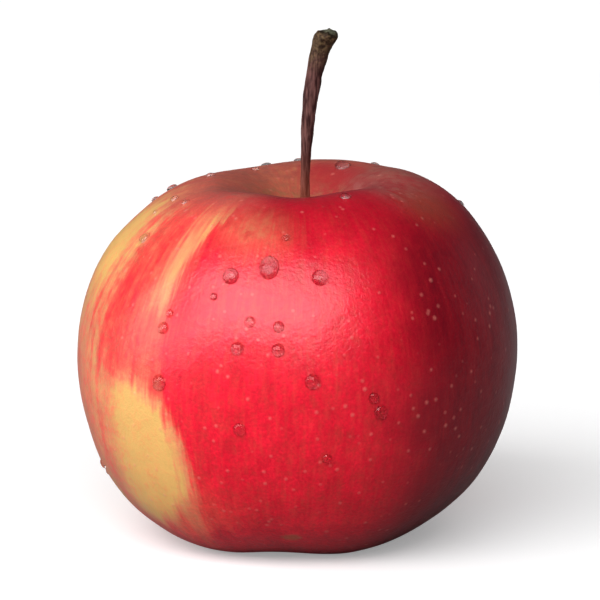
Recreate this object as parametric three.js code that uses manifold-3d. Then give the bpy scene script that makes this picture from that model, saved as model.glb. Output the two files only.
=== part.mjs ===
// Crab apple: one whole fruit that stands on the lobes round its eye, with its stem, the five dried
// sepals and the tuft of withered stamens. Millimetres, +Z up. The origin is on the ground, under
// the middle of the fruit's outline; the stem leans towards +X.

import * as THREE from 'three';
import { mergeVertices } from 'three/addons/utils/BufferGeometryUtils.js';
import Module from 'manifold-3d';

const wasm = await Module();
wasm.setup();

const { clamp, degToRad, lerp, smoothstep } = THREE.MathUtils;

// ---- Driving dimensions --------------------------------------------------------------------------

// Fruit
const FRUIT_WIDTH = 45; // across its widest part
const FRUIT_HEIGHT = 36.6; // ground to the crest round the stem cavity
const EQUATOR_HEIGHT = 18.8; // height of the widest part
const CREST_RADIUS = 9.1; // ring of highest points round the stem cavity
const CAVITY_DEPTH = 5.4; // crest down to the floor of the stem cavity
const BASE_RADIUS = 7.8; // ring of lowest points, round the eye
const BASIN_DEPTH = 4.4; // ground up to the floor of the eye's basin
const BASIN_FLOOR_RADIUS = 3.4;

// Roundness of the fruit's section: 0 is a straight slope, 1 a square corner
const SHOULDER_FULLNESS = 0.5;
const FLANK_FULLNESS = 0.55;
const BASE_FULLNESS = 0.62;
const CAVITY_LIP_FULLNESS = 0.45; // how far the crest runs level into the cavity
const CAVITY_WALL_FULLNESS = 0.55; // how far the cavity's wall runs steeply up from its floor
const BASIN_LIP_FULLNESS = 0.45;
const BASIN_WALL_FULLNESS = 0.7;
const THROAT_FLARE = 0.17; // how far the cavity and the basin widen along their steep walls

// Uneven growth
const LEAN = degToRad(2.2); // the core line leans towards +X going up
const SETTLING = 0.06; // how deep the lobes are pressed flat by the fruit's weight
const RIB_COUNT = 5; // one low rib over each seed chamber
const RIB_AZIMUTH = degToRad(86);
const CREST_RIB_RISE = 0.16;
const CREST_TILT_RISE = 0.35; // the crest is this much higher on the +X side
const BASE_RIB_DROP = 0.17;
const BASE_RIB_SWELL = 0.25; // how far the ribs stand out of the lower half
const OVALNESS = 0.5; // the outline is this much narrower at the front and at the back
const CAVITY_SHIFT = 0.35; // the stem cavity lies this far to the +X side of the core line

// Gentle swellings of the skin, and hollows, which have a negative rise
const UNEVENNESS = [
  { azimuth: degToRad(180), height: 28.5, rise: 0.45, spread: 4.5 },
  { azimuth: degToRad(185), height: 11.5, rise: -0.35, spread: 5 },
  { azimuth: degToRad(60), height: 37, rise: 0.3, spread: 9 },
  { azimuth: degToRad(105), height: 13, rise: -0.4, spread: 7 },
  { azimuth: degToRad(130), height: 24, rise: 0.35, spread: 6 },
  { azimuth: degToRad(-25), height: 12, rise: 0.25, spread: 6 },
];

// Stem
const STEM_HEIGHT = 20.8; // cavity floor to the tip
const STEM_REACH = 2.3; // the tip stands out this far towards +X from the foot
const STEM_FOOT_WIDTH = 1.9; // where it grows out of the cavity floor
const STEM_FOOT_CLEARANCE = 0.65; // level floor left free round the foot
const STEM_WAIST_WIDTH = 1.2; // just above the crest
const STEM_NECK_WIDTH = 1.9; // below the knob
const KNOB_WIDTH = 2.5; // where it broke away from the spur
const KNOB_LENGTH = 3;
const SCAR_WIDTH = 2; // the torn end of the knob

// Calyx, in the eye
const SEPAL_COUNT = 5;
const SEPAL_LENGTH = 3.2;
const SEPAL_WIDTH = 1.9;
const SEPAL_THICKNESS = 0.34;
const SEPAL_TIP_WIDTH = 0.16;
const SEPAL_INSET = 1; // edge of the basin floor to the middle of a sepal's root
const TUFT_CLEARANCE = 0.93; // gap between the sepals' roots and the cushion of the stamens
const TUFT_THICKNESS = 0.5;
const STAMEN_COUNT = 10;
const STAMEN_LENGTH = 2.2;
const STAMEN_WIDTH = 0.28;

// Fineness of the facets
const FRUIT_SIDES = 60;
const BASIN_STEPS = 7;
const FLANK_STEPS = 13;
const SHOULDER_STEPS = 12;
const CAVITY_STEPS = 8;
const STEM_SIDES = 16;
const STEM_STEPS = 26;
const SEPAL_STEPS = 8;
const STAMEN_SIDES = 6;

// ---- Places --------------------------------------------------------------------------------------

const equatorRadius = FRUIT_WIDTH / 2;
const cavityFloorHeight = FRUIT_HEIGHT - CAVITY_DEPTH;
const cavityFloorRadius = STEM_FOOT_WIDTH / 2 + STEM_FOOT_CLEARANCE;
const sepalRingRadius = BASIN_FLOOR_RADIUS - SEPAL_INSET;
const tuftRadius = sepalRingRadius - SEPAL_THICKNESS / 2 - TUFT_CLEARANCE;

// Distance of the leaning core line from the Z axis, at a height.
const coreOffset = (height) => Math.tan(LEAN) * (height - FRUIT_HEIGHT / 2);

// ---- Shaping -------------------------------------------------------------------------------------

// A body turned round the Z axis from its section, whose x is a radius and y a height, given upwards.
function turned(section, sides) {
  return new THREE.LatheGeometry(section, sides).rotateX(Math.PI / 2);
}

// Moves every vertex of a geometry with a function that changes a Vector3.
function reshape(geometry, move) {
  const position = geometry.getAttribute('position');
  const point = new THREE.Vector3();
  for (let i = 0; i < position.count; i += 1) {
    move(point.fromBufferAttribute(position, i));
    position.setXYZ(i, point.x, point.y, point.z);
  }
  geometry.computeVertexNormals();
  return geometry;
}

// Bends a body that stands along Z, from 0 to its length, onto a curve. Its x keeps to the side
// direction and its y to the third direction.
function bentAlong(geometry, length, curve, side) {
  const centre = new THREE.Vector3();
  const along = new THREE.Vector3();
  const third = new THREE.Vector3();
  const across = new THREE.Vector3();
  return reshape(geometry, (point) => {
    const share = clamp(point.z / length, 0, 1);
    curve.getPoint(share, centre);
    curve.getTangent(share, along);
    third.crossVectors(along, side).normalize();
    across.crossVectors(third, along);
    const { x, y } = point;
    point.copy(centre).addScaledVector(across, x).addScaledVector(third, y);
  });
}

// A closed geometry as a manifold solid, and back.
function solidOf(geometry) {
  const bare = geometry.clone().deleteAttribute('normal').deleteAttribute('uv');
  const merged = mergeVertices(bare, 1e-4);
  return new wasm.Manifold(new wasm.Mesh({
    numProp: 3,
    vertProperties: new Float32Array(merged.getAttribute('position').array),
    triVerts: new Uint32Array(merged.index.array),
  }));
}

function geometryOf(solid) {
  const { vertProperties, triVerts } = solid.getMesh();
  const geometry = new THREE.BufferGeometry();
  geometry.setAttribute('position', new THREE.BufferAttribute(vertProperties, 3));
  geometry.setIndex(new THREE.BufferAttribute(triVerts, 1));
  geometry.computeVertexNormals();
  return geometry;
}

function named(name, geometry, material) {
  const mesh = new THREE.Mesh(geometry, material);
  mesh.name = name;
  return mesh;
}

// ---- Fruit ---------------------------------------------------------------------------------------

const skin = new THREE.MeshStandardMaterial({ color: 0xc4162c, roughness: 0.35, metalness: 0 });

// One stretch of the section: a cubic curve from one point to the next, pulled towards two handles.
function stretch(from, leaving, arriving, to, steps) {
  const curve = new THREE.CubicBezierCurve(
    new THREE.Vector2(...from),
    new THREE.Vector2(...leaving),
    new THREE.Vector2(...arriving),
    new THREE.Vector2(...to),
  );
  return curve.getPoints(steps).slice(1);
}

// The section from the middle of the eye, round the flank and into the stem cavity.
function fruitSection() {
  const eyeEdge = [BASIN_FLOOR_RADIUS, BASIN_DEPTH];
  const base = [BASE_RADIUS, -SETTLING];
  const equator = [equatorRadius, EQUATOR_HEIGHT];
  const crest = [CREST_RADIUS, FRUIT_HEIGHT];
  const cavityEdge = [cavityFloorRadius, cavityFloorHeight];
  return [
    new THREE.Vector2(0, BASIN_DEPTH),
    new THREE.Vector2(...eyeEdge),
    ...stretch(
      eyeEdge,
      [lerp(BASIN_FLOOR_RADIUS, BASE_RADIUS, THROAT_FLARE), lerp(BASIN_DEPTH, 0, BASIN_WALL_FULLNESS)],
      [lerp(BASE_RADIUS, BASIN_FLOOR_RADIUS, BASIN_LIP_FULLNESS), -SETTLING],
      base,
      BASIN_STEPS,
    ),
    ...stretch(
      base,
      [lerp(BASE_RADIUS, equatorRadius, BASE_FULLNESS), -SETTLING],
      [equatorRadius, lerp(EQUATOR_HEIGHT, 0, FLANK_FULLNESS)],
      equator,
      FLANK_STEPS,
    ),
    ...stretch(
      equator,
      [equatorRadius, lerp(EQUATOR_HEIGHT, FRUIT_HEIGHT, SHOULDER_FULLNESS)],
      [lerp(CREST_RADIUS, equatorRadius, SHOULDER_FULLNESS), FRUIT_HEIGHT],
      crest,
      SHOULDER_STEPS,
    ),
    ...stretch(
      crest,
      [lerp(CREST_RADIUS, cavityFloorRadius, CAVITY_LIP_FULLNESS), FRUIT_HEIGHT],
      [
        lerp(cavityFloorRadius, CREST_RADIUS, THROAT_FLARE),
        lerp(cavityFloorHeight, FRUIT_HEIGHT, CAVITY_WALL_FULLNESS),
      ],
      cavityEdge,
      CAVITY_STEPS,
    ),
    new THREE.Vector2(0, cavityFloorHeight),
  ];
}

// How far the skin swells at a point, from the list of gentle swellings and hollows.
function unevenness(azimuth, height) {
  return UNEVENNESS.reduce((sum, bump) => {
    const turn = Math.atan2(Math.sin(azimuth - bump.azimuth), Math.cos(azimuth - bump.azimuth));
    const distance = Math.hypot(turn * equatorRadius, height - bump.height) / bump.spread;
    return sum + bump.rise * Math.exp(-(distance ** 2));
  }, 0);
}

// Ribs, swellings, an oval outline, a tilted crest and a leaning core line, with the lobes pressed
// flat where they stand on the ground. The floors of the cavity and the basin stay level.
function grow(point) {
  const azimuth = Math.atan2(point.y, point.x);
  const radius = Math.hypot(point.x, point.y);
  const rib = Math.cos(RIB_COUNT * (azimuth - RIB_AZIMUTH));
  const nearCrest = smoothstep(point.z, EQUATOR_HEIGHT, FRUIT_HEIGHT)
    * smoothstep(radius, cavityFloorRadius, CREST_RADIUS);
  const nearBase = (1 - smoothstep(point.z, 0, EQUATOR_HEIGHT))
    * smoothstep(radius, BASIN_FLOOR_RADIUS, BASE_RADIUS);
  const nearEquator = smoothstep(radius, CREST_RADIUS, equatorRadius);
  const inCavity = (1 - smoothstep(radius, cavityFloorRadius, CREST_RADIUS))
    * smoothstep(point.z, BASIN_DEPTH, cavityFloorHeight);
  const bump = unevenness(azimuth, point.z);
  const swell = BASE_RIB_SWELL * rib * nearBase
    + (bump - OVALNESS * Math.sin(azimuth) ** 2) * nearEquator;
  point.z += nearCrest * (CREST_RIB_RISE * rib + CREST_TILT_RISE * Math.cos(azimuth) + bump);
  point.z -= nearBase * BASE_RIB_DROP * rib;
  point.z = Math.max(point.z, 0);
  point.x += swell * Math.cos(azimuth) + CAVITY_SHIFT * inCavity + coreOffset(point.z);
  point.y += swell * Math.sin(azimuth);
}

const fruit = named('fruit', reshape(turned(fruitSection(), FRUIT_SIDES), grow), skin);

// ---- Stem ----------------------------------------------------------------------------------------

const bark = new THREE.MeshStandardMaterial({ color: 0x6b3a2c, roughness: 0.75, metalness: 0 });

// The stem's half widths, from the flared foot over the waist to the knob and the scar on its end.
function stemSection() {
  const knobStart = STEM_HEIGHT - KNOB_LENGTH;
  const outline = new THREE.SplineCurve([
    new THREE.Vector2(STEM_FOOT_WIDTH / 2, 0),
    new THREE.Vector2(lerp(STEM_FOOT_WIDTH, STEM_WAIST_WIDTH, 0.75) / 2, STEM_FOOT_WIDTH * 0.6),
    new THREE.Vector2(STEM_WAIST_WIDTH / 2, CAVITY_DEPTH),
    new THREE.Vector2(lerp(STEM_WAIST_WIDTH, STEM_NECK_WIDTH, 0.5) / 2, knobStart * 0.72),
    new THREE.Vector2(STEM_NECK_WIDTH / 2, knobStart),
    new THREE.Vector2(KNOB_WIDTH / 2, STEM_HEIGHT - KNOB_LENGTH * 0.25),
    new THREE.Vector2(SCAR_WIDTH / 2, STEM_HEIGHT),
  ]);
  const onAxis = (height) => new THREE.Vector2(0, height);
  return [onAxis(0), ...outline.getPoints(STEM_STEPS), onAxis(STEM_HEIGHT)];
}

function stemGeometry() {
  const foot = new THREE.Vector3(0, 0, cavityFloorHeight);
  foot.x = CAVITY_SHIFT + coreOffset(cavityFloorHeight);
  const tip = foot.clone().add(new THREE.Vector3(STEM_REACH, 0, STEM_HEIGHT));
  const path = new THREE.CubicBezierCurve3(
    foot,
    foot.clone().setZ(lerp(foot.z, tip.z, 0.4)),
    new THREE.Vector3(lerp(foot.x, tip.x, 0.05), 0, lerp(foot.z, tip.z, 0.76)),
    tip,
  );
  return bentAlong(turned(stemSection(), STEM_SIDES), STEM_HEIGHT, path, new THREE.Vector3(1, 0, 0));
}

const stem = named('stem', stemGeometry(), bark);

// ---- Calyx ---------------------------------------------------------------------------------------

const driedLeaf = new THREE.MeshStandardMaterial({ color: 0x6e5738, roughness: 0.9, metalness: 0 });

const eye = new THREE.Vector3(coreOffset(BASIN_DEPTH), 0, BASIN_DEPTH);

// A pointed leaf that hangs from the basin floor, leans in and turns its tip back out.
function sepalGeometry() {
  const leaf = new THREE.BoxGeometry(1, SEPAL_THICKNESS, SEPAL_LENGTH, 4, 1, SEPAL_STEPS);
  leaf.translate(0, 0, SEPAL_LENGTH / 2);
  // The outline widens a little from the root and then narrows to the tip, where the leaf is half as
  // thick as at its root.
  const widening = 2.1;
  reshape(leaf, (point) => {
    const share = clamp(point.z / SEPAL_LENGTH, 0, 1);
    const outline = 0.75 * (1 + widening * share) * (1 - share) ** 1.2;
    point.x *= SEPAL_TIP_WIDTH + (SEPAL_WIDTH - SEPAL_TIP_WIDTH) * outline;
    point.y *= 1 - share / 2;
  });
  const hanging = (outwards, down) => new THREE.Vector3(sepalRingRadius + outwards, 0, -down);
  const path = new THREE.CubicBezierCurve3(
    hanging(0, 0),
    hanging(0, SEPAL_LENGTH * 0.3),
    hanging(-SEPAL_LENGTH * 0.2, SEPAL_LENGTH * 0.65),
    hanging(SEPAL_LENGTH * 0.15, SEPAL_LENGTH * 0.9),
  );
  return bentAlong(leaf, SEPAL_LENGTH, path, new THREE.Vector3(0, 1, 0));
}

const sepals = Array.from({ length: SEPAL_COUNT }, (_, i) => {
  const sepal = named(`sepal_${i + 1}`, sepalGeometry(), driedLeaf);
  sepal.position.copy(eye);
  sepal.rotation.z = RIB_AZIMUTH + ((i + 0.5) * 2 * Math.PI) / SEPAL_COUNT;
  return sepal;
});

// A thread that hangs from the cushion at an azimuth and splays outwards.
function stamenSolid(azimuth, rootRadius, length) {
  const width = STAMEN_WIDTH / 2;
  const thread = turned([
    new THREE.Vector2(0, 0),
    new THREE.Vector2(width, 0),
    new THREE.Vector2(width * 0.8, length * 0.35),
    new THREE.Vector2(width * 0.7, length * 0.7),
    new THREE.Vector2(width * 1.1, length * 0.85),
    new THREE.Vector2(width * 0.6, length),
    new THREE.Vector2(0, length),
  ], STAMEN_SIDES);
  const hanging = (radius, down) => new THREE.Vector3(radius, 0, -down);
  const path = new THREE.QuadraticBezierCurve3(
    hanging(rootRadius, TUFT_THICKNESS / 2),
    hanging(rootRadius, length * 0.6),
    hanging(rootRadius * 1.25, length),
  );
  bentAlong(thread, length, path, new THREE.Vector3(0, 1, 0));
  return solidOf(thread.rotateZ(azimuth));
}

// The cushion that closes the eye, with a ring of stamens and the styles in the middle.
function tuftGeometry() {
  const cushion = turned([
    new THREE.Vector2(0, -TUFT_THICKNESS),
    new THREE.Vector2(tuftRadius * 0.7, -TUFT_THICKNESS),
    new THREE.Vector2(tuftRadius, -TUFT_THICKNESS * 0.4),
    new THREE.Vector2(tuftRadius, 0),
    new THREE.Vector2(0, 0),
  ], STAMEN_COUNT * 2);
  let tuft = solidOf(cushion);
  for (let i = 0; i < STAMEN_COUNT; i += 1) {
    const azimuth = (i * 2 * Math.PI) / STAMEN_COUNT;
    const length = STAMEN_LENGTH * (i % 2 ? 0.82 : 1);
    tuft = tuft.add(stamenSolid(azimuth, tuftRadius * 0.78, length));
  }
  for (let i = 0; i < SEPAL_COUNT; i += 1) {
    const azimuth = ((i + 0.25) * 2 * Math.PI) / SEPAL_COUNT;
    tuft = tuft.add(stamenSolid(azimuth, tuftRadius * 0.32, STAMEN_LENGTH * 0.7));
  }
  return geometryOf(tuft);
}

const stamens = named('stamens', tuftGeometry(), driedLeaf);
stamens.position.copy(eye);

// ---- Crab apple ----------------------------------------------------------------------------------

const crabApple = new THREE.Group();
crabApple.add(fruit, stem, ...sepals, stamens);

// The origin goes under the middle of the outline.
const middle = new THREE.Box3().setFromObject(crabApple).getCenter(new THREE.Vector3());
crabApple.position.set(-middle.x, -middle.y, 0);

export default crabApple;
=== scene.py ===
# A ripe crab apple standing on its base, its stalk still on, with drops of water on its skin.
# Each section makes one piece of the fruit, in the order in which they grow on each other.
# Lengths are in metres unless a name says MM, and in millimetres inside the fruit's materials; angles are in degrees.

import math
import random

import bpy
from mathutils import Matrix, Vector


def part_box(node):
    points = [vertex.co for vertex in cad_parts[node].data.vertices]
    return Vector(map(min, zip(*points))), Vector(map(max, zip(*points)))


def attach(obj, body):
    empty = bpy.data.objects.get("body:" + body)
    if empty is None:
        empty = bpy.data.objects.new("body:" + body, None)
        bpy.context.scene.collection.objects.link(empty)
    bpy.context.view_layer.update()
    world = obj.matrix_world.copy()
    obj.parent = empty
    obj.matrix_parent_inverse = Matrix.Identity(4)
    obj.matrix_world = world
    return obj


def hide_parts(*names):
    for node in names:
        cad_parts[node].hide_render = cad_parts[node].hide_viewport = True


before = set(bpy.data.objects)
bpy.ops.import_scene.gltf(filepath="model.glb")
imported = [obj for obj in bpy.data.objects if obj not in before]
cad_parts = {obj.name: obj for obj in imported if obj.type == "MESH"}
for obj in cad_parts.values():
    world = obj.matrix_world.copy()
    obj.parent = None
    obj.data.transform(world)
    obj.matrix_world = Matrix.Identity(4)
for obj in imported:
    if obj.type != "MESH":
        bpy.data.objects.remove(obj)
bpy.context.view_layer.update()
MM = 0.001


# ------------------------------------------------------------------ the fruit
# The fruit is one piece: white flesh under a thin waxed skin, drawn in round the stalk and round the eye.
# Its skin is crimson where the sun reached it, striped over yellow in the shade, and dotted with pale pores.

def merged_copy(node, name):
    """A new piece on its own copy of a CAD node's mesh, its loose triangles merged into quads."""
    bpy.ops.object.select_all(action="DESELECT")
    piece = bpy.data.objects.new(name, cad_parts[node].data.copy())
    piece.data.name = name
    piece.data.materials.clear()
    bpy.context.scene.collection.objects.link(piece)
    bpy.context.view_layer.objects.active = piece
    piece.select_set(True)
    bpy.ops.mesh.customdata_custom_splitnormals_clear()
    bpy.ops.object.mode_set(mode="EDIT")
    bpy.ops.mesh.select_all(action="SELECT")
    bpy.ops.mesh.remove_doubles(threshold=1e-6)
    bpy.ops.mesh.tris_convert_to_quads(face_threshold=math.radians(50), shape_threshold=math.radians(70))
    bpy.ops.object.mode_set(mode="OBJECT")
    return piece


def smoothed(piece, levels):
    """Rounds the active piece with that many subdivisions."""
    rounding = piece.modifiers.new("rounding", "SUBSURF")
    rounding.levels = rounding.render_levels = levels
    bpy.ops.object.modifier_apply(modifier=rounding.name)
    bpy.ops.object.shade_smooth()


def roughened(piece, grain, depth, stretch=1.0):
    """Moves the active piece's surface in and out by a soft grain, longer up and down by stretch."""
    bpy.ops.object.empty_add(location=(0, 0, 0))
    guide = bpy.context.object
    guide.scale = (1, 1, stretch)
    bpy.context.view_layer.update()
    cloud = bpy.data.textures.new(piece.name + "_grain", "CLOUDS")
    cloud.noise_scale = grain
    cloud.noise_depth = 1
    bpy.context.view_layer.objects.active = piece
    grain_modifier = piece.modifiers.new("grain", "DISPLACE")
    grain_modifier.texture = cloud
    grain_modifier.texture_coords = "OBJECT"
    grain_modifier.texture_coords_object = guide
    grain_modifier.strength = depth
    grain_modifier.mid_level = 0.5
    bpy.ops.object.modifier_apply(modifier=grain_modifier.name)
    bpy.data.objects.remove(guide)


def step(tree, kind, *inputs, **settings):
    """Adds one shader node, feeds its inputs in order (None leaves one alone) and returns its output."""
    made = tree.nodes.new("ShaderNode" + kind)
    for name, value in settings.items():
        setattr(made, name, value)
    for socket, given in zip([s for s in made.inputs if s.enabled], inputs):
        if isinstance(given, bpy.types.NodeSocket):
            tree.links.new(given, socket)
        elif given is not None:
            socket.default_value = given
    return next(s for s in made.outputs if s.enabled)


def maths(tree, operation, *values):
    return step(tree, "Math", *values, operation=operation)


def product(tree, first, *others):
    """All the values multiplied together, in their order."""
    for other in others:
        first = maths(tree, "MULTIPLY", first, other)
    return first


def ease(tree, value, low, high):
    """0 below low, 1 above high, and a soft step between; the other way round if low is above high."""
    if low < high:
        return step(tree, "MapRange", value, low, high, 0.0, 1.0, interpolation_type="SMOOTHSTEP")
    return step(tree, "MapRange", value, high, low, 1.0, 0.0, interpolation_type="SMOOTHSTEP")


def grain_of(tree, place, scale, detail=2.0, rough=0.5):
    """A soft noise, 0 to 1, finer as the scale rises."""
    return step(tree, "TexNoise", place, scale, detail, rough, 2.0, 0.0)


def stretched(tree, place, *factors):
    """The place multiplied along X, Y and Z, so that a grain on it gets longer or shorter that way."""
    return step(tree, "VectorMath", place, factors, operation="MULTIPLY")


def blend(tree, share, under, over):
    return step(tree, "Mix", share, under, over, data_type="RGBA")


def place_in_mm(tree):
    """The point on the piece, in millimetres."""
    place = tree.nodes.new("ShaderNodeTexCoord").outputs["Object"]
    return step(tree, "VectorMath", place, 1 / MM, operation="SCALE")


def parted(tree, place):
    """The X, Y and Z outputs of a place."""
    axes = tree.nodes.new("ShaderNodeSeparateXYZ")
    tree.links.new(place, axes.inputs[0])
    return axes.outputs


def finish_named(name):
    """A new material with its node tree and its Principled shader."""
    material = bpy.data.materials.new(name)
    material.use_nodes = True
    return material, material.node_tree, material.node_tree.nodes["Principled BSDF"]


SKIN_WAVE_MM = 5.5
SKIN_WAVE_DEPTH_MM = 0.16
SKIN_RELIEF_MM = 0.06
GROUND_YELLOW = (0.87, 0.52, 0.175, 1)
ORANGE = (0.86, 0.31, 0.15, 1)
WARM_CORAL = (0.85, 0.135, 0.088, 1)
CORAL = (0.84, 0.062, 0.055, 1)
CRIMSON = (0.80, 0.007, 0.036, 1)
CHERRY_MOTTLE = (0.90, 0.032, 0.062, 1)
# The next colour is a deep crimson used for painted shade; on the right side it also stands for the skin's own darker
# red.
CRIMSON_AND_PAINTED_SHADE = (0.215, 0.001, 0.013, 1)
# The next colour is a dusty rose that stands for wax dust and a painted sheen.
DUST_AND_SHEEN_ROSE = (0.46, 0.14, 0.10, 1)
OLIVE = (0.26, 0.12, 0.04, 1)
# The next two colours are painted shade inside the cavity, a brown and a dark red.
CAVITY_SHADE_BROWN = (0.20, 0.055, 0.030, 1)
CAVITY_SHADE_RED = (0.42, 0.022, 0.036, 1)
CREST_TAN = (0.42, 0.16, 0.12, 1)
PORE = (0.95, 0.33, 0.27, 1)
RUSSET = (0.34, 0.19, 0.08, 1)

fruit_low, fruit_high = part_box("fruit")
CORE = Vector((0, 0, 0.5 * (fruit_low.z + fruit_high.z)))

skin = merged_copy("fruit", "skin")
smoothed(skin, 2)
roughened(skin, SKIN_WAVE_MM * MM, SKIN_WAVE_DEPTH_MM * MM)

# A place on the skin is given by its turn round the core, 0 in front and rising to the right,
# and by its rise above the core's level.
skin_finish, tree, shader = finish_named("waxed_skin")
place_mm = place_in_mm(tree)
from_core = step(tree, "VectorMath", place_mm, tuple(CORE / MM), operation="SUBTRACT")
level_part = stretched(tree, from_core, 1, 1, 0)
radius = step(tree, "VectorMath", level_part, operation="LENGTH")
around = step(tree, "VectorMath", level_part, operation="NORMALIZE")
core_axes = parted(tree, from_core)
backwards = maths(tree, "MULTIPLY", core_axes["Y"], -1.0)
turn = maths(tree, "DEGREES", maths(tree, "ARCTAN2", core_axes["X"], backwards))
rise = maths(tree, "DEGREES", maths(tree, "ARCTAN2", core_axes["Z"], radius))
height = step(tree, "CombineXYZ", 0.0, 0.0, maths(tree, "MULTIPLY", rise, 0.02))
on_skin = step(tree, "VectorMath", around, height, operation="ADD")

# Three widths of stripe run from the stalk to the eye, and four grains lie over them.
broad_stripe = grain_of(tree, stretched(tree, on_skin, 5.0, 5.0, 0.9), 1.0)
stripe = grain_of(tree, stretched(tree, on_skin, 15.0, 15.0, 1.6), 1.0, 3.0, 0.6)
fine_stripe = grain_of(tree, stretched(tree, on_skin, 48.0, 48.0, 5.0), 1.0, 2.0, 0.6)
mottle = grain_of(tree, place_mm, 1.1, 3.0, 0.6)
speckle = grain_of(tree, place_mm, 3.2, 2.0, 0.6)
cloudy = grain_of(tree, place_mm, 0.16)
bloom = grain_of(tree, place_mm, 0.42, 2.0, 0.55)


def shifted(value, *shifts):
    """The value moved by up to half of each amount either way, by the grain that follows the amount."""
    for amount, grain in zip(shifts[::2], shifts[1::2]):
        value = step(tree, "Math", maths(tree, "SUBTRACT", grain, 0.5), amount, value, operation="MULTIPLY_ADD")
    return value


def patch(middle_turn, middle_rise, half_turn, half_rise, wander, soft, lean=0.0):
    """1 inside an oval patch of skin, 0 outside it, with a streaky edge; lean slants it."""
    above = maths(tree, "SUBTRACT", rise, middle_rise)
    beside = maths(tree, "SUBTRACT", turn, middle_turn)
    leaning = step(tree, "Math", above, -lean, beside, operation="MULTIPLY_ADD")
    across = maths(tree, "DIVIDE", leaning, half_turn)
    up = maths(tree, "DIVIDE", above, half_rise)
    away = step(tree, "VectorMath", step(tree, "CombineXYZ", across, up, 0.0), operation="LENGTH")
    return ease(tree, shifted(away, wander, fine_stripe, wander, stripe), 1.0 + soft, 1.0 - soft)


def more(value, *shares):
    return maths(tree, "ADD", value, product(tree, *shares))


def less(value, *shares):
    return maths(tree, "SUBTRACT", value, product(tree, *shares))


def at_least(value, *shares):
    return maths(tree, "MAXIMUM", value, product(tree, *shares))


# The sunny side runs from a streaky left edge round to the right; beyond it the skin is striped and paler.
edge_wander = step(tree, "Math", ease(tree, rise, 38.0, 62.0), 26.0, 7.0, operation="MULTIPLY_ADD")
wavy_turn = shifted(turn, edge_wander, stripe, 4.0, fine_stripe)
widening = product(tree, ease(tree, rise, -18.0, 4.0), ease(tree, rise, 62.0, 34.0))
left_edge = step(tree, "Math", widening, 8.0, wavy_turn, operation="MULTIPLY_ADD")
right_edge = shifted(turn, 36.0, stripe, 16.0, mottle)
sunny = product(tree, ease(tree, left_edge, -34.5, -28.0), ease(tree, right_edge, 150.0, 105.0))
from_back = maths(tree, "SUBTRACT", 180.0, maths(tree, "ABSOLUTE", turn))
shady = ease(tree, shifted(turn, 14.0, stripe, 8.0, mottle), -58.0, -76.0)
shady = maths(tree, "MAXIMUM", shady, ease(tree, right_edge, 110.0, 150.0))
at_back = product(tree, ease(tree, from_back, 60.0, 20.0), 0.04)
shady = step(tree, "Math", shady, 0.28, at_back, operation="MULTIPLY_ADD")

# The blush is how red the skin is, from bare yellow ground at 0 to crimson at 1.
upper_left_pale = patch(-82, 34, 12, 14, 0.3, 0.7)
left_red_band = patch(-53, 22, 8, 24, 0.4, 0.6, 0.1)
red_above_bare = patch(-43, 9, 9, 11, 0.4, 0.6)
yellow_streak = patch(-40.9, 37, 4.9, 17, 0.5, 0.9, 0.065)
orange_near_cavity = patch(-16, 48, 13, 8, 0.6, 0.8)
pale_round_bare = patch(-62, -16, 20, 24, 0.3, 0.6)
halo = patch(-38, -36, 17, 12, 0.3, 0.6)
orange_left = patch(-80, -10, 20, 26, 0.3, 0.7)
bare = patch(-56, -18.6, 22.5, 20.5, 0.18, 0.24)
bare = product(tree, bare, ease(tree, shifted(turn, 14.0, stripe), -67.0, -45.0))
top_ring = ease(tree, rise, 48.0, 64.0)
base_ring = ease(tree, shifted(rise, 14.0, mottle), -36.0, -46.0)

blush = shifted(0.665, 0.78, stripe, 0.22, fine_stripe, 0.36, broad_stripe, 0.52, mottle)
blush = more(blush, top_ring, 0.22)
blush = maths(tree, "SUBTRACT", blush, shady)
blush = less(blush, upper_left_pale, 0.40)
blush = more(blush, left_red_band, 0.14)
blush = more(blush, red_above_bare, 0.16)
blush = at_least(blush, sunny, shifted(0.97, 0.30, fine_stripe, 0.25, mottle))
blush = less(blush, yellow_streak, shifted(0.40, 0.50, mottle))
blush = less(blush, orange_near_cavity, mottle, 0.95)
blush = less(blush, pale_round_bare, 0.20)
blush = at_least(blush, halo, shifted(0.66, 0.70, mottle))
blush = less(blush, halo, mottle, 0.36)
blush = at_least(blush, orange_left, shifted(0.46, 0.60, stripe, 0.50, mottle))
blush = more(blush, base_ring, 0.24)
blush = less(blush, bare, 0.66)

red = tree.nodes.new("ShaderNodeValToRGB")
tree.links.new(blush, red.inputs[0])
for at, colour in ((0.06, GROUND_YELLOW), (0.36, ORANGE), (0.60, WARM_CORAL), (0.80, CORAL)):
    red.color_ramp.elements.new(at).color = colour
red.color_ramp.elements[0].color = GROUND_YELLOW
red.color_ramp.elements[-1].color = CRIMSON
skin_colour = red.outputs["Color"]

# A cherry mottle and a fine light and dark grain, then the deep crimson of the right side, which is partly the skin's
# own darker red and partly painted shade.
mottled = ease(tree, shifted(0.3, 0.9, mottle, 0.7, stripe, 0.8, speckle), 0.15, 0.85)
skin_colour = blend(tree, product(tree, mottled, 0.35), skin_colour, CHERRY_MOTTLE)
tone = shifted(0.03, 0.46, mottle, 0.50, speckle, 0.28, stripe, 0.16, fine_stripe, 0.50, bloom)
tone_share = step(tree, "MapRange", blush, 0.0, 0.7, 0.3, 1.0)
tone = step(tree, "Math", tone, tone_share, 1.0, operation="MULTIPLY_ADD")
skin_colour = step(tree, "VectorMath", skin_colour, tone, operation="SCALE")
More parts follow.
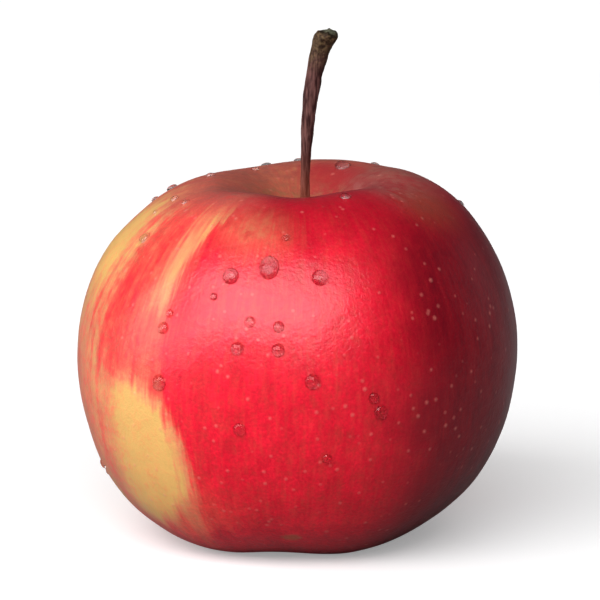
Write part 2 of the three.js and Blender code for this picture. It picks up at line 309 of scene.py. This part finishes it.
# Painted shade, partly real colour: the right side is darkened towards deep crimson, less towards the top.
deep_and_painted_shade = product(tree, ease(tree, shifted(turn, 18.0, cloudy), 9.0, 48.0), ease(tree, turn, 160.0, 78.0))
below_top = less(1.0, ease(tree, rise, 34.0, 56.0), 0.85)
deep_and_painted_shade = product(tree, deep_and_painted_shade, below_top, shifted(0.90, 0.34, stripe, 0.24, fine_stripe, 0.26, mottle))
skin_colour = blend(tree, deep_and_painted_shade, skin_colour, CRIMSON_AND_PAINTED_SHADE)

# Painted shade darkens the shoulder towards the cavity. Round the cavity the skin is dusty and hazed by a painted
# sheen, and inside it painted shade darkens the wall, brown on the left and red on the right.
painted_shoulder_shade = ease(tree, shifted(rise, 16.0, cloudy, 14.0, mottle), 25.0, 58.0)
painted_shoulder_shade = product(tree, painted_shoulder_shade, ease(tree, turn, -50.0, -10.0), ease(tree, right_edge, 150.0, 100.0))
skin_colour = blend(tree, product(tree, painted_shoulder_shade, 0.58), skin_colour, CRIMSON_AND_PAINTED_SHADE)
# Dust and a painted sheen: a hazy rose towards the cavity, kept off the red lip in front.
from_red_lip = maths(tree, "ABSOLUTE", maths(tree, "SUBTRACT", turn, 32.0))
dust_and_sheen = product(tree, ease(tree, shifted(rise, 14.0, stripe), 43.0, 63.0), product(tree, mottle, 1.4))
dust_and_sheen = product(tree, dust_and_sheen, ease(tree, from_red_lip, 38.0, 72.0))
skin_colour = blend(tree, dust_and_sheen, skin_colour, DUST_AND_SHEEN_ROSE)
skin_colour = blend(tree, product(tree, patch(66, 49, 14, 7, 0.8, 0.8), 0.35), skin_colour, OLIVE)
# Painted shade inside the cavity: brown, and red on the right-hand wall.
painted_cavity_shade = product(tree, ease(tree, radius, 10.0, 7.0), ease(tree, rise, 30.0, 45.0))
skin_colour = blend(tree, product(tree, painted_cavity_shade, 0.35), skin_colour, CAVITY_SHADE_BROWN)
red_wall_painted_shade = product(tree, painted_cavity_shade, ease(tree, shifted(core_axes["X"], 3.0, mottle), -1.0, 2.5))
skin_colour = blend(tree, product(tree, red_wall_painted_shade, 0.75), skin_colour, CAVITY_SHADE_RED)
from_right = maths(tree, "ABSOLUTE", maths(tree, "SUBTRACT", turn, 85.0))
tan_share = product(tree, ease(tree, rise, 44.0, 58.0), ease(tree, from_right, 50.0, 28.0))
tan_share = product(tree, tan_share, ease(tree, shifted(fine_stripe, 0.8, mottle), 0.25, 0.80))
skin_colour = blend(tree, product(tree, tan_share, 0.75), skin_colour, CREST_TAN)
# Painted shade darkens the skin towards the base, from the front round to the right.
painted_base_shade = ease(tree, shifted(rise, 10.0, cloudy), -38.0, -56.0)
painted_base_shade = product(tree, painted_base_shade, ease(tree, turn, -40.0, 5.0), ease(tree, turn, 150.0, 90.0))
skin_colour = blend(tree, product(tree, painted_base_shade, 0.40), skin_colour, CRIMSON_AND_PAINTED_SHADE)

# Pale pores, and russet in the cavity, round the eye and in one small scar near the base.
pores = step(tree, "TexVoronoi", place_mm, 0.68, 0.0, 0.5, 2.0, 1.0)
pore_size = shifted(0.18, 0.20, cloudy)
pore = maths(tree, "DIVIDE", maths(tree, "SUBTRACT", pore_size, pores), 0.15)
pore = maths(tree, "MINIMUM", maths(tree, "MAXIMUM", pore, 0.0), 1.0)
skin_colour = blend(tree, product(tree, pore, 0.34), skin_colour, PORE)
russet = product(tree, ease(tree, radius, 6.5, 1.5), ease(tree, mottle, 0.42, 0.60))
russet = maths(tree, "MAXIMUM", russet, ease(tree, radius, 2.6, 1.2))
russet = at_least(russet, patch(-2, -43, 3.0, 1.4, 0.7, 0.5), 0.75)
skin_colour = blend(tree, product(tree, russet, 0.75), skin_colour, RUSSET)
tree.links.new(skin_colour, shader.inputs["Base Color"])

skin_roughness = more(shifted(0.46, 0.14, mottle, 0.10, cloudy), russet, 0.30)
tree.links.new(skin_roughness, shader.inputs["Roughness"])
skin_relief = more(more(mottle, speckle, 0.6), pore, 0.4)
skin_bump = step(tree, "Bump", 0.8, SKIN_RELIEF_MM * MM, None, skin_relief)
tree.links.new(skin_bump, shader.inputs["Normal"])
tree.links.new(skin_bump, shader.inputs["Coat Normal"])
shader.inputs["IOR"].default_value = 1.45
shader.inputs["Specular IOR Level"].default_value = 0.16
shader.inputs["Coat Weight"].default_value = 1.0
shader.inputs["Coat Roughness"].default_value = 0.32

skin.data.materials.append(skin_finish)
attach(skin, "root")
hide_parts("fruit")


# ------------------------------------------------------------------ the stalk
# The stalk is a thin woody stem, widest at its foot in the cavity and at the knob where it left the spur.
# Its bark is reddish brown with long wrinkles, olive near the top, and the knob ends in a dry grey-green scar.

def pick(piece, wanted):
    """In edit mode, selects just the corners whose place passes the test."""
    bpy.ops.object.mode_set(mode="EDIT")
    bpy.ops.mesh.select_mode(type="VERT")
    bpy.ops.mesh.select_all(action="DESELECT")
    bpy.ops.object.mode_set(mode="OBJECT")
    for corner in piece.data.vertices:
        corner.select = bool(wanted(corner.co))
    bpy.ops.object.mode_set(mode="EDIT")


BARK_WRINKLE_MM = 0.35
BARK_WRINKLE_DEPTH_MM = 0.22
BARK_WRINKLE_STRETCH = 7.0
BARK_RELIEF_MM = 0.08
SLIMMED_BELOW_MM = (43.5, 41.0, 38.0)
SLIMMED_MM = 0.05
SCAR_FACING = Vector((0.62, -0.48, 0.62)).normalized()
SCAR_OUT_MM = 0.42
SCAR_RIM_MM = 0.12
SCAR_SUNK_MM = 0.10
SCAR_CORNER_MM = 0.16
BARK_DARK = (0.050, 0.017, 0.017, 1)
BARK_LIGHT = (0.20, 0.095, 0.085, 1)
KNOB_DARK = (0.025, 0.015, 0.005, 1)
KNOB_LIGHT = (0.16, 0.11, 0.055, 1)
FOOT_RED = (0.30, 0.075, 0.040, 1)
SCAR_RIM = (0.020, 0.014, 0.008, 1)
SCAR_DARK = (0.07, 0.07, 0.045, 1)
SCAR_LIGHT = (0.20, 0.20, 0.14, 1)

stalk_low, stalk_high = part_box("stem")
stalk = merged_copy("stem", "stalk")
for below_mm in SLIMMED_BELOW_MM:
    pick(stalk, lambda co: co.z < below_mm * MM)
    bpy.ops.transform.shrink_fatten(value=-SLIMMED_MM * MM)

# The knob slopes down on its left and is cut off slantwise, and the cut is sunk inside a narrow rim.
knob = Vector((stalk_high.x - 1.0 * MM, 0.5 * (stalk_low.y + stalk_high.y), stalk_high.z - 0.45 * MM))
scar_middle = knob + SCAR_FACING * SCAR_OUT_MM * MM
pick(stalk, lambda co: co.z > knob.z - 0.6 * MM and co.x < knob.x - 0.2 * MM)
bpy.ops.transform.translate(value=(0.0, 0.0, -0.55 * MM))
bpy.ops.mesh.select_all(action="SELECT")
bpy.ops.mesh.bisect(plane_co=scar_middle, plane_no=SCAR_FACING, use_fill=True, clear_outer=True, threshold=1e-6)
bpy.ops.mesh.remove_doubles(threshold=SCAR_CORNER_MM * MM)
bpy.ops.mesh.inset(thickness=SCAR_RIM_MM * MM, depth=0)
bpy.ops.mesh.inset(thickness=SCAR_RIM_MM * MM, depth=-SCAR_SUNK_MM * MM)
bpy.ops.object.mode_set(mode="OBJECT")
smoothed(stalk, 2)
roughened(stalk, BARK_WRINKLE_MM * MM, BARK_WRINKLE_DEPTH_MM * MM, BARK_WRINKLE_STRETCH)

bark, tree, shader = finish_named("bark")
place_mm = place_in_mm(tree)
stalk_height = parted(tree, place_mm)["Z"]
wrinkle = grain_of(tree, stretched(tree, place_mm, 3.2, 3.2, 0.45), 1.0, 3.0, 0.6)
fleck = grain_of(tree, place_mm, 2.6, 2.0, 0.6)
from_scar = step(tree, "VectorMath", place_mm, tuple(scar_middle / MM), operation="SUBTRACT")
from_scar = step(tree, "VectorMath", from_scar, operation="LENGTH")
bark_colour = blend(tree, ease(tree, wrinkle, 0.35, 0.68), BARK_DARK, BARK_LIGHT)
knob_colour = blend(tree, ease(tree, fleck, 0.35, 0.65), KNOB_DARK, KNOB_LIGHT)
bark_colour = blend(tree, product(tree, ease(tree, stalk_height, 47.0, 50.5), 0.8), bark_colour, knob_colour)
bark_colour = blend(tree, product(tree, ease(tree, stalk_height, 41.0, 33.0), 0.7), bark_colour, FOOT_RED)
scar_colour = blend(tree, ease(tree, fleck, 0.3, 0.7), SCAR_DARK, SCAR_LIGHT)
bark_colour = blend(tree, product(tree, ease(tree, from_scar, 1.35, 1.05), 0.85), bark_colour, SCAR_RIM)
bark_colour = blend(tree, product(tree, ease(tree, from_scar, 0.95, 0.65), 0.9), bark_colour, scar_colour)
tree.links.new(bark_colour, shader.inputs["Base Color"])
tree.links.new(step(tree, "MapRange", fleck, 0.0, 1.0, 0.5, 0.8), shader.inputs["Roughness"])
tree.links.new(step(tree, "Bump", 0.6, BARK_RELIEF_MM * MM, None, wrinkle), shader.inputs["Normal"])
shader.inputs["Specular IOR Level"].default_value = 0.25

stalk.data.materials.append(bark)
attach(stalk, "root")
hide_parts("stem")


# ------------------------------------------------------------------ the sepals
# Five dried sepals, the green leaves that once closed the flower bud, stand round the eye under the fruit.
# Each is a thin brown pointed leaf, curled and felted with fine pale hair, grown fast at its foot.

SEPAL_CURL_MM = 0.7
SEPAL_CURL_DEPTH_MM = 0.16
FELT_RELIEF_MM = 0.10
SEPAL_BROWN = (0.10, 0.055, 0.028, 1)
SEPAL_HAIR = (0.38, 0.30, 0.19, 1)

sepal_felt, tree, shader = finish_named("sepal_felt")
felt = grain_of(tree, stretched(tree, place_in_mm(tree), 5.0, 5.0, 1.6), 1.0, 3.0, 0.65)
tree.links.new(blend(tree, ease(tree, felt, 0.35, 0.65), SEPAL_BROWN, SEPAL_HAIR), shader.inputs["Base Color"])
tree.links.new(step(tree, "Bump", 0.8, FELT_RELIEF_MM * MM, None, felt), shader.inputs["Normal"])
shader.inputs["Roughness"].default_value = 0.85

for number in range(1, 6):
    sepal = merged_copy(f"sepal_{number}", f"dry_sepal_{number}")
    smoothed(sepal, 2)
    roughened(sepal, SEPAL_CURL_MM * MM, SEPAL_CURL_DEPTH_MM * MM)
    sepal.data.materials.append(sepal_felt)
    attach(sepal, "root")
    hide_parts(f"sepal_{number}")


# ------------------------------------------------------------------ the stamens
# A tuft of withered stamens fills the middle of the eye: thin threads on one low cushion.
# They are dry, dark brown and matt, and stay where the flower left them.

THREAD_RELIEF_MM = 0.08
THREAD_DARK = (0.035, 0.020, 0.012, 1)
THREAD_LIGHT = (0.20, 0.12, 0.06, 1)

stamens = merged_copy("stamens", "withered_stamens")
smoothed(stamens, 1)

dry_thread, tree, shader = finish_named("dry_thread")
thread = grain_of(tree, place_in_mm(tree), 3.0, 3.0, 0.6)
tree.links.new(blend(tree, ease(tree, thread, 0.3, 0.7), THREAD_DARK, THREAD_LIGHT), shader.inputs["Base Color"])
tree.links.new(step(tree, "Bump", 0.8, THREAD_RELIEF_MM * MM, None, thread), shader.inputs["Normal"])
shader.inputs["Roughness"].default_value = 0.9

stamens.data.materials.append(dry_thread)
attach(stamens, "root")
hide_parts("stamens")


# ------------------------------------------------------------------ the water
# Drops of clear water lie on the waxed skin, which keeps them round and apart.
# Those in front and on the crest are placed one by one, by turn, rise and width in mm; a sprinkle covers the back.

DROPS = [(-21, 33, 1.7), (-25, 27, 0.8), (-9, 36, 2.0), (7, 33, 1.6), (-13, 21, 1.1), (-5, 20, 1.1), (-16, 14, 1.3),
         (-5, 14, 1.3), (4, 6, 1.5), (-38, 3, 1.6), (-39, 17, 1.2), (-38, 21, 0.9), (-66, 39, 1.3), (-15, -7, 1.3),
         (8, -15, 1.0), (22, -3, 1.4), (20, 1, 1.1), (27, 60, 1.2), (-80, 53, 1.0), (-67, 54, 0.9), (-4, 45, 0.9),
         (145, 66, 1.7), (-112, 62, 1.0), (-150, 64, 0.9)]
DROP_COUNT = 60
FRONT_TURNS = (-75, 95)
MM_PER_DEGREE = 0.36
LONG_DROP_MM = 1.9
DROP_FLATNESS = 0.50
WATER_IOR = 1.333


def facing(turn_of, rise_of):
    """The direction out of the core at that turn and rise."""
    t, r = math.radians(turn_of), math.radians(rise_of)
    return Vector((math.sin(t) * math.cos(r), -math.cos(t) * math.cos(r), math.sin(r)))


sprinkle = random.Random(11)
while len(DROPS) < DROP_COUNT:
    at_turn = sprinkle.uniform(-180, 180)
    at_rise = math.degrees(math.asin(sprinkle.uniform(-0.55, 0.84)))
    across = sprinkle.uniform(0.4, 1.25)
    clear = [math.hypot((at_turn - turn_of) * math.cos(math.radians(at_rise)), at_rise - rise_of) * MM_PER_DEGREE
             - (across + width) * 0.55 for turn_of, rise_of, width in DROPS]
    if min(clear) > 0 and not FRONT_TURNS[0] < at_turn < FRONT_TURNS[1]:
        DROPS.append((at_turn, at_rise, across))

bpy.ops.object.select_all(action="DESELECT")
bpy.ops.mesh.primitive_uv_sphere_add(segments=16, ring_count=10, radius=1, location=(0, 0, 0))
drop = bpy.context.object
pick(drop, lambda co: co.z < -0.05)
bpy.ops.transform.resize(value=(0.96, 0.96, 0.22))
bpy.ops.mesh.select_all(action="SELECT")
bpy.ops.transform.resize(value=(1, 1, DROP_FLATNESS))
pick(drop, lambda co: co.z > 0.15)
bpy.ops.transform.translate(value=(0, -0.07, 0))
bpy.ops.object.mode_set(mode="OBJECT")
bpy.ops.object.shade_smooth()

# Each drop is a copy that stands on the skin, its heavier side downhill.
drops = []
for turn_of, rise_of, width in DROPS:
    _, spot, normal, _ = skin.ray_cast(CORE, facing(turn_of, rise_of))
    side = Vector((0, 0, 1)).cross(normal).normalized()
    uphill = normal.cross(side)
    bpy.ops.object.select_all(action="DESELECT")
    bpy.context.view_layer.objects.active = drop
    drop.select_set(True)
    bpy.ops.object.duplicate()
    bead = bpy.context.object
    turned = Matrix((side, uphill, normal)).transposed().to_4x4()
    half = width / 2 * MM
    long = 1.25 if width > LONG_DROP_MM else 1.0
    bead.matrix_world = Matrix.Translation(spot) @ turned @ Matrix.Diagonal((half, half * long, half, 1))
    drops.append(bead)
bpy.data.objects.remove(drop)
bpy.ops.object.select_all(action="DESELECT")
for bead in drops:
    bead.select_set(True)
water = drops[0]
bpy.context.view_layer.objects.active = water
bpy.ops.object.transform_apply(location=True, rotation=True, scale=True)
bpy.ops.object.join()
water.name = water.data.name = "water_drops"

clear_water, tree, shader = finish_named("clear_water")
shader.inputs["Base Color"].default_value = (1, 1, 1, 1)
shader.inputs["Roughness"].default_value = 0.03
shader.inputs["IOR"].default_value = WATER_IOR
shader.inputs["Specular IOR Level"].default_value = 0.8
shader.inputs["Transmission Weight"].default_value = 1.0
water.data.materials.clear()
water.data.materials.append(clear_water)
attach(water, "root")


# ------------------------------------------------------------------ the studio
# A plain pale floor that fades into the backdrop, and four soft lights: a large window on the upper left, a fill
# on the left, a fill behind that leaves no gloss, and a faint rim light on the right. The camera looks down a little.

WHITE = (1, 1, 1, 1)
BLACK = (0, 0, 0, 1)
FLOOR_SEEN = (0.80, 0.80, 0.80, 1)
FLOOR_BOUNCE = (0.28, 0.28, 0.28, 1)
BACKDROP_SEEN = (0.91, 0.91, 0.91, 1)
BACKDROP_LIGHT = (0.065, 0.065, 0.07, 1)
LIGHT_DISTANCE = 1.5

bpy.ops.object.select_all(action="DESELECT")
bpy.ops.mesh.primitive_plane_add(size=6, location=(0, 0, 0))
floor = bpy.context.object
floor.name = "floor"
floor_paint, tree, shader = finish_named("floor_paint")
seen = tree.nodes.new("ShaderNodeLightPath").outputs["Is Camera Ray"]
place = tree.nodes.new("ShaderNodeTexCoord").outputs["Object"]
far = ease(tree, step(tree, "VectorMath", place, operation="LENGTH"), 0.12, 0.50)
near_paint = blend(tree, seen, FLOOR_BOUNCE, FLOOR_SEEN)
tree.links.new(blend(tree, product(tree, far, seen), near_paint, BLACK), shader.inputs["Base Color"])
glow = step(tree, "MapRange", far, 0.0, 1.0, 0.28, BACKDROP_SEEN[0])
tree.links.new(product(tree, seen, glow), shader.inputs["Emission Strength"])
shader.inputs["Emission Color"].default_value = WHITE
shader.inputs["Roughness"].default_value = 1.0
shader.inputs["Specular IOR Level"].default_value = 0.0
floor.data.materials.append(floor_paint)

world = bpy.data.worlds.new("studio")
bpy.context.scene.world = world
world.use_nodes = True
tree = world.node_tree
seen = tree.nodes.new("ShaderNodeLightPath").outputs["Is Camera Ray"]
tree.links.new(blend(tree, seen, BACKDROP_LIGHT, BACKDROP_SEEN), tree.nodes["Background"].inputs["Color"])


def softbox(name, turn_of, rise_of, width, tall, power, glossy=True):
    """A soft rectangular light that faces the fruit."""
    outward = facing(turn_of, rise_of)
    bpy.ops.object.light_add(type="AREA", location=CORE + outward * LIGHT_DISTANCE)
    light = bpy.context.object
    light.name = name
    light.rotation_euler = outward.to_track_quat("Z", "Y").to_euler()
    light.data.shape = "RECTANGLE"
    light.data.size, light.data.size_y = width, tall
    light.data.energy = power
    light.visible_camera = False
    light.visible_glossy = glossy


softbox("window", -23, 41, 2.3, 1.05, 31)
softbox("left_fill", -80, 8, 1.2, 1.0, 7.5)
softbox("back_fill", 190, 22, 1.6, 1.0, 5, glossy=False)
softbox("right_rim", 120, 6, 0.9, 1.0, 0.5)

AIM = Vector((0.0003, 0.0011, 0.0239))
CAMERA_DISTANCE = 0.5
HALF_VIEW = 0.03054
LOOK_DOWN = math.radians(12.5)

back_and_up = Vector((0, -math.cos(LOOK_DOWN), math.sin(LOOK_DOWN)))
bpy.ops.object.camera_add(location=AIM + CAMERA_DISTANCE * back_and_up)
camera = bpy.context.object
camera.rotation_euler = (math.pi / 2 - LOOK_DOWN, 0, 0)
camera.data.angle = 2 * math.atan(HALF_VIEW / CAMERA_DISTANCE)
camera.data.clip_start = 0.01
bpy.context.scene.camera = camera
bpy.context.scene.view_settings.view_transform = "Standard"
bpy.context.scene.view_settings.look = "Medium High Contrast"
